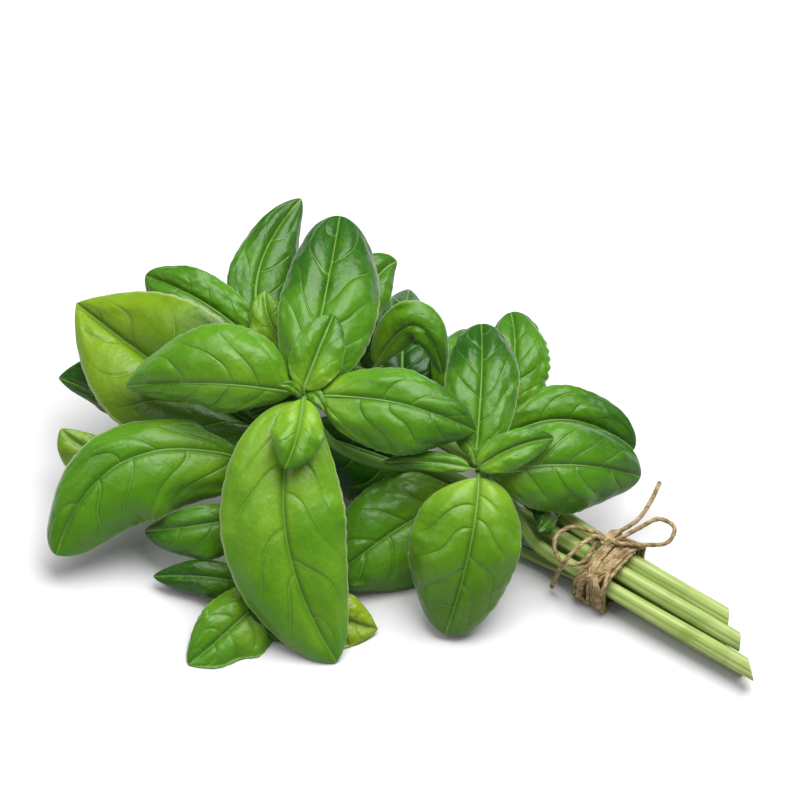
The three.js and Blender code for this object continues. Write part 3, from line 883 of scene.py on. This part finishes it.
# A stem runs through bundlePoint's spots, from its cut end past the tie at 0, and then through
# leafPoint's spots.
high, low, far, lift = 9.0, 2.6, -6.3, 2.6
stems = {
    "leafyStemFrontRosette": {
        "node": "leafy_stem_front_rosette", "radius": 3.15, "cut": (0.45, -0.5),
        "bundle": [(55, 0, high), (0, 0, high + lift), (-30, 0, 13)],
        "onward": [(14, 42, 20), (-8, 46, 32), (-24, 54, 46), (-32, 69, 60)],
        "leaves": [
            leaf(.97, (-32, 66, 58), (-38, 24, 37), (-21, -20, 1), 21, 22, blunt=.6, widest=.48,
                 light=.55, pale=.5, quilt=.035, turn=.6),
            leaf(.97, (-31, 72, 60), (-25, 100, 72), (-20, 128, 74), 15, 19, blunt=.44, widest=.5,
                 light=-.2, pale=.4),
            leaf(.97, (-36, 69, 60), (-63, 72, 64), (-91, 71, 50), 13, 21, foldLeft=-40, light=.3,
                 turn=.3),
            leaf(.97, (-27, 68, 60), (2, 65, 64), (25, 56, 53), 13, 17.5, foldLeft=-20),
            leaf(.99, (-32, 70, 62), (-27, 83, 70), (-22, 95, 74), 8.5, 9, foldLeft=14,
                 foldRight=14, light=.3),
            leaf(.99, (-32, 67, 62), (-34, 55, 62), (-38, 44, 55), 9, 9, light=.5),
            leaf(.99, (-33, 68, 61), (-36, 71, 65), (-40, 71.5, 66), 1.8, 2, light=.3),
            leaf(.99, (-31, 69.5, 60.5), (-27.5, 67.5, 61.5), (-25, 63, 59), 2.6, 2.6, light=.1),
            # A small leaf under the hub whose low light value is painted shade, for the shadow
            # deep among the leaves there.
            leaf(.97, (-34, 67, 56), (-41, 65, 54), (-50, 62, 50), 5, 5, light=-.9),
        ],
    },
    "leafyStemRightRosette": {
        "node": "leafy_stem_right_rosette", "radius": 3.15, "cut": (0.45, -1.0),
        "bundle": [(64, 6.6, 7.6), (0, 6.6, 7.6 + lift), (-24, 6.6, 13)],
        "onward": [(37, 32, 24), (28, 41, 36), (25, 45, 44)],
        "leaves": [
            leaf(.96, (26, 41, 43), (23, 17, 31), (15, -11, 3), 17, 21, blunt=.45, widest=.48,
                 light=.1, yellow=.1),
            leaf(.96, (25, 48, 46), (27, 74, 58), (27, 92, 58), 12.5, 13, blunt=.42, widest=.5,
                 light=-.3, pale=.5),
            leaf(.93, (32, 43, 40), (58, 45, 38), (80, 41, 22), 15, 17.5, foldLeft=-15,
                 foldRight=-15, blunt=.45, widest=.48, light=-.1),
            leaf(.98, (26, 44, 46), (38, 51, 51), (51, 54, 48), 6, 6.5, foldLeft=10, foldRight=10,
                 light=.3),
            leaf(.98, (23, 44, 46), (10, 46, 47), (-6, 46, 42), 3, 4),
            leaf(.99, (25, 45, 45), (24, 49, 48), (23, 51, 49), 1.6, 1.8, light=.3),
        ],
    },
    "leafyStemTop": {
        "node": "leafy_stem_top", "radius": 3.15, "cut": (0.45, -0.5),
        "bundle": [(46, far, high), (0, far, high + lift), (-30, -7.5, 14)],
        "onward": [(12, 54, 20), (-12, 68, 30), (-34, 80, 42), (-44, 86, 46)],
        "leaves": [
            leaf(.97, (-50, 87, 47), (-67, 100, 56), (-85, 108, 54), 14, 10, blunt=.5, pale=.5,
                 light=-.1, quilt=.035, turn=.5),
            leaf(.97, (-45, 87, 48), (-47, 110, 58), (-33, 134, 64), 10, 14, light=-.5, pale=.2,
                 quilt=.03, turn=.4),
            leaf(.9, (-36, 82, 45), (-43, 92, 54), (-45, 103, 58), 8, 9, light=.7, turn=.2),
            leaf(.75, (-18, 84, 42), (-10, 104, 52), (-1, 113, 52), 11, 8, light=.1),
            leaf(.52, (33, 63, 32), (38, 80, 42), (37, 96, 42), 11, 12.5, blunt=.42, light=.1,
                 teeth=.06),
            leaf(.48, (33, 53, 28), (56, 60, 30), (78, 50, 16), 12, 12, blunt=.5, light=-.1),
            leaf(.4, (50, 29, 18), (47, 30, 20), (44, 31, 21), 4, 3, light=-.3),
            leaf(.39, (52, 28, 18), (49, 26, 21), (46, 23, 21), 3, 3.5, light=-.3),
            leaf(.65, (-8, 78, 34), (5, 91, 50), (14, 75, 36), 9, 8, foldRight=-35, light=.2,
                 pale=.6),
        ],
    },
    "leafyStemLeft": {
        "node": "leafy_stem_left", "radius": 2.6,
        "bundle": [(50, -0.7, low), (0, -0.7, low + lift), (-40, 0, 6.5), (-80, 2, 10)],
        "onward": [(-30, 54, 18), (-50, 56, 28), (-64, 58, 32)],
        "leaves": [
            leaf(.9, (-45, 57, 40), (-77, 76, 44), (-108, 99, 46), 24, 25, foldLeft=20,
                 foldRight=20, blunt=.9, widest=.48, light=-.25, yellow=.45, pale=.4,
                 quilt=.03, turn=-.9),
            leaf(.97, (-80, 57, 26), (-97, 67, 30), (-114, 74, 28), 6, 17, foldLeft=-30,
                 light=-.6),
            leaf(.97, (-88, 44, 18), (-102, 49, 24), (-113, 57, 28), 11, 6, light=.2, yellow=.4),
            leaf(.9, (-45, 45, 30), (-90, 47, 39), (-114, 15, 12), 23, 14, foldRight=-25,
                 blunt=.45, widest=.5, light=.2, pale=.6, turn=.5),
            leaf(.86, (-48, 28, 20), (-67, 25, 22), (-85, 23, 14), 12, 7, light=-.2),
            # Its low light value is painted shade: this leaf lies in shadow under the stem and the
            # leaves above it.
            leaf(.6, (8, 43, 15), (-12, 50, 20), (-34, 58, 18), 18, 13, light=-.9),
        ],
    },
    "leafyStemLow": {
        "node": "leafy_stem_low", "radius": 2.2,
        "bundle": [(60, 4.5, 2.2), (50, 4.5, 2.2), (40, 4.5, 2.4), (0, 4.5, 2.2 + lift),
                   (-30, 7, 5)],
        "onward": [(13, 31, 8), (-10, 24, 12), (-30, 16, 14), (-42, 10, 14)],
        "leaves": [
            leaf(.95, (-50, 5, 8), (-65, 8, 10), (-82, 8, 5), 7, 6, light=-.5),
            leaf(.97, (-44, 2, 10), (-56, -9, 7), (-70, -21, 0.4), 15, 11.5, light=.5),
            leaf(.9, (-38, 8, 12), (-43, -2, 10), (-38, -13, 2), 9, 9, light=-.7),
            leaf(.8, (-32, 0, 9), (-19, -6, 6), (-7.3, -9.3, 2), 9, 14, blunt=1, widest=.5,
                 light=.4, yellow=.7),
            leaf(.6, (19, 34, 18), (-2, 23, 19), (-24, 6, 8), 23, 17.5, foldLeft=-18, light=.25),
        ],
    },
    "leafyStemBack": {
        "node": "leafy_stem_back", "radius": 2.6,
        "bundle": [(42, far, low), (0, far, low + lift), (-35, -9, 8)],
        "onward": [(25, 52, 14), (0, 70, 18), (-30, 82, 22), (-50, 86, 24)],
        "leaves": [
            leaf(.8, (-22, 86, 22), (-22, 100, 24), (-25, 116, 0.4), 17, 16),
            leaf(.9, (-45, 84, 24), (-55, 95, 24), (-62, 103, 3), 15, 15),
            leaf(.65, (1, 70, 20), (1, 87, 24), (3, 104, 12), 15, 15, light=-1.3),
            leaf(.5, (20, 66, 18), (32, 76, 20), (42, 80, 6), 11, 11),
            leaf(.72, (-10, 80, 22), (-4, 92, 30), (-3, 101, 26), 9, 9, light=-1.2),
            leaf(.85, (-34, 86, 26), (-40, 104, 34), (-42, 118, 30), 10, 10, light=-.2),
            leaf(.55, (14, 68, 20), (20, 82, 28), (26, 89, 20), 8, 8),
            leaf(.93, (-52, 84, 25), (-66, 92, 32), (-78, 98, 26), 10, 10, light=-.3),
            leaf(.97, (-60, 76, 22), (-80, 84, 20), (-98, 88, 0.4), 16, 15, light=-.2),
        ],
    },
}
stalk = {
    "tip": 1.4,
    "endWidth": 0.3,            # what is left of that at a stem's very end
    "petiole": 1.05,
    "sides": 28,
    "lobes": 4.0,
    "lobeDepth": 0.12,
    "step": 1.2,
    "cutFades": 12.0,           # how far along a stalk the lean of its cut end reaches
    "capRings": [               # how far along each ring of a cut end is, and how wide
        (0, 0.02), (0.02, 0.5), (0.04, 0.85), (0.12, 0.97), (0.5, 1.0),
    ],
    "petioleStep": 0.9,
    "thinning": 0.3,            # how much of its thickness a leaf's stalk loses up to the blade
    "thinnest": 0.08,
    "longPetiole": 6.0,         # a longer leaf stalk bends before it reaches the blade
    "fullWidth": 14.0,          # a narrower leaf has a thinner stalk
    "bend": 0.35,               # how far before the blade it bends, as a share of its length
    "entry": 0.02,              # where it reaches the blade, and how far under it
    "entryUnder": 0.3,
    "midribUnder": 0.6,
    "midribRises": 0.35,
    "midribStops": (0.16, 0.35, 0.55, 0.75),
    "petioleGreen": 0.2,        # leaf stalks are as green as a stem is this far up, in metres
}


def stemLine(path, radius):
    # The stem's own line, closed at its cut end by rings that run from the middle outwards.
    line = smoothLine(path, stalk["step"] * mm)
    ahead = (line[1] - line[0]).normalized()
    cap = [line[0] + ahead * (gap * mm) for gap, _ in stalk["capRings"]]
    points = cap + line[1:]
    total = lengths(points)
    taper = [radius + (stalk["tip"] - radius) * (t / total[-1]) ** 2 for t in total]
    taper[-1] *= stalk["endWidth"]
    shares = [share for _, share in stalk["capRings"]] + [1.0] * (len(line) - 1)
    return {
        "points": points, "cap": shares,
        "radius": [r * share * mm for r, share in zip(taper, shares)],
    }


def petioleLine(path, one, seed):
    # A leaf's stalk, which runs on under its blade as the midrib and thins out.
    root, control, tip = midribCurve(one)
    midrib = lambda s: (1 - s) ** 2 * root + 2 * s * (1 - s) * control + s * s * tip
    start = pointAt(path, one["from"])
    entry = midrib(stalk["entry"]) - stalk["entryUnder"] * mm * outward
    gap = (start - entry).length
    first = [start]
    if gap > stalk["longPetiole"] * mm:
        first.append(entry - (control - root).normalized() * stalk["bend"] * gap)
    size = min(1.0, (one["left"] + one["right"]) / stalk["fullWidth"])
    runs = [midrib(s) - (stalk["midribUnder"] - stalk["midribRises"] * s) * mm * size * outward
            for s in stalk["midribStops"]]
    line = smoothLine(first + [entry] + runs, stalk["petioleStep"] * mm)
    total = lengths(line)
    entryAt = lengths(first + [entry])[-1] / total[-1]
    radius = []
    for t in total:
        share = t / total[-1]
        before = 1 - stalk["thinning"] * min(share / max(entryAt, 0.01), 1)
        after = max(1 - (share - entryAt) / (1 - entryAt), 0.0) if share > entryAt else 1
        radius.append(max(stalk["petiole"] * size * before * after ** 0.8, stalk["thinnest"]) * mm)
    return {"points": line, "radius": radius, "seed": seed}


def makeStem(name, stem, seed):
    stops = [bundlePoint(*spot) for spot in stem["bundle"]]
    stops += [leafPoint(spot) for spot in stem["onward"]]
    path = smoothLine(stops, mm)
    lines = [stemLine(stops, stem["radius"])]
    lines += [petioleLine(path, one, 2.0 + k) for k, one in enumerate(stem["leaves"])]
    mesh = sweepMesh(name + "Stalk", lines)
    shift = mesh.attributes["along"].data
    for k in range(len(lines[0]["points"]), len(shift)):
        shift[k].value += stalk["petioleGreen"]
    stalks = sweep.make(name + "Stalk", mesh, Sides=stalk["sides"], Lobes=stalk["lobes"],
                        Lobe_depth=stalk["lobeDepth"], Lobe_power=2.0, Closed=False,
                        Material=stalkMaterial)
    if stem.get("cut"):
        slantEnd(stalks, stops, stem["radius"] * mm, *stem["cut"])
    parts = [stalks]
    for size, (rows, columns, draw) in blade["grids"].items():
        chosen = [one for one in stem["leaves"]
                  if (one["left"] + one["right"] > blade["largeOver"]) == (size == "Large")]
        values = leafColumns(chosen, seed + draw)
        points = pointMesh(name + size, [(0, 0, 0)] * len(chosen), [], values)
        parts.append(leafBlades.make(name + size, points, Rows=rows, Columns=columns,
                                     Material=leafMaterial))
    whole = joinPieces(name, parts)
    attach(whole, "root")
    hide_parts(stem["node"])
    print(f"{name}: {len(whole.data.polygons)} faces")


def slantEnd(stalks, stops, radius, runUp, runAway):
    # Leans the cut end: how far it runs on where it faces up, and on its far side.
    end = stops[0]
    ahead = (stops[1] - end).normalized()
    upper = (outward - ahead * outward.dot(ahead)).normalized()
    away = ahead.cross(upper)
    for vertex in stalks.data.vertices:
        reach = (vertex.co - end).dot(ahead)
        off = vertex.co - end - ahead * reach
        if -radius < reach < stalk["cutFades"] * mm and off.length < 1.3 * radius:
            run = runUp * off.dot(upper) + runAway * off.dot(away)
            vertex.co -= ahead * (run * (1 - max(reach, 0) / (stalk["cutFades"] * mm)))


for count, (name, stem) in enumerate(stems.items()):
    makeStem(name, stem, 40 + 7 * count)
print("stems made")


room = {
    "floorHalf": 2.0, "world": 0.36,
    "floorFinish": {"Base Color": (0.54, 0.54, 0.545, 1), "Roughness": 0.9,
                    "Specular IOR Level": 0.1},
    "mirrored": 0.4,            # how much of the surrounding light shows in a gloss
    "lamps": [                  # its place across, away and up, its size and its power
        ("key", (0.3, 0.3, 1.5), 1.4, 58.0),
        ("fill", (-0.9, -0.2, 1.3), 0.8, 6.0),
    ],
}


def makeRoom():
    half = room["floorHalf"]
    mesh = bpy.data.meshes.new("floor")
    mesh.from_pydata([(-half, -half, 0), (half, -half, 0), (half, half, 0), (-half, half, 0)],
                     [], [(0, 1, 2, 3)])
    floor = addObject("floor", mesh)
    material, _, shader = newMaterial("paleTable")
    setSockets(shader, room["floorFinish"])
    mesh.materials.append(material)
    world = bpy.data.worlds.new("studio")
    world.use_nodes = True
    background = world.node_tree.nodes["Background"]
    rays = world.node_tree.nodes.new("ShaderNodeLightPath")
    gloss = Field(world.node_tree, rays.outputs["Is Glossy Ray"])
    strength = (1 - gloss * (1 - room["mirrored"])) * room["world"]
    setSockets(background, {"Color": (1, 1, 1, 1), "Strength": strength})
    bpy.context.scene.world = world
    right = Vector((turnCos, turnSin, 0))
    back = Vector((-turnSin, turnCos, 0))
    for name, (across, away, up), size, power in room["lamps"]:
        data = bpy.data.lights.new(name, "AREA")
        data.size = size
        data.energy = power
        lamp = addObject(name, data)
        lamp.location = right * across + back * away + Vector((0, 0, up))
        lamp.rotation_euler = lamp.location.to_track_quat("Z", "Y").to_euler()
    bpy.context.scene.view_settings.view_transform = "Standard"


makeRoom()
print("room made")
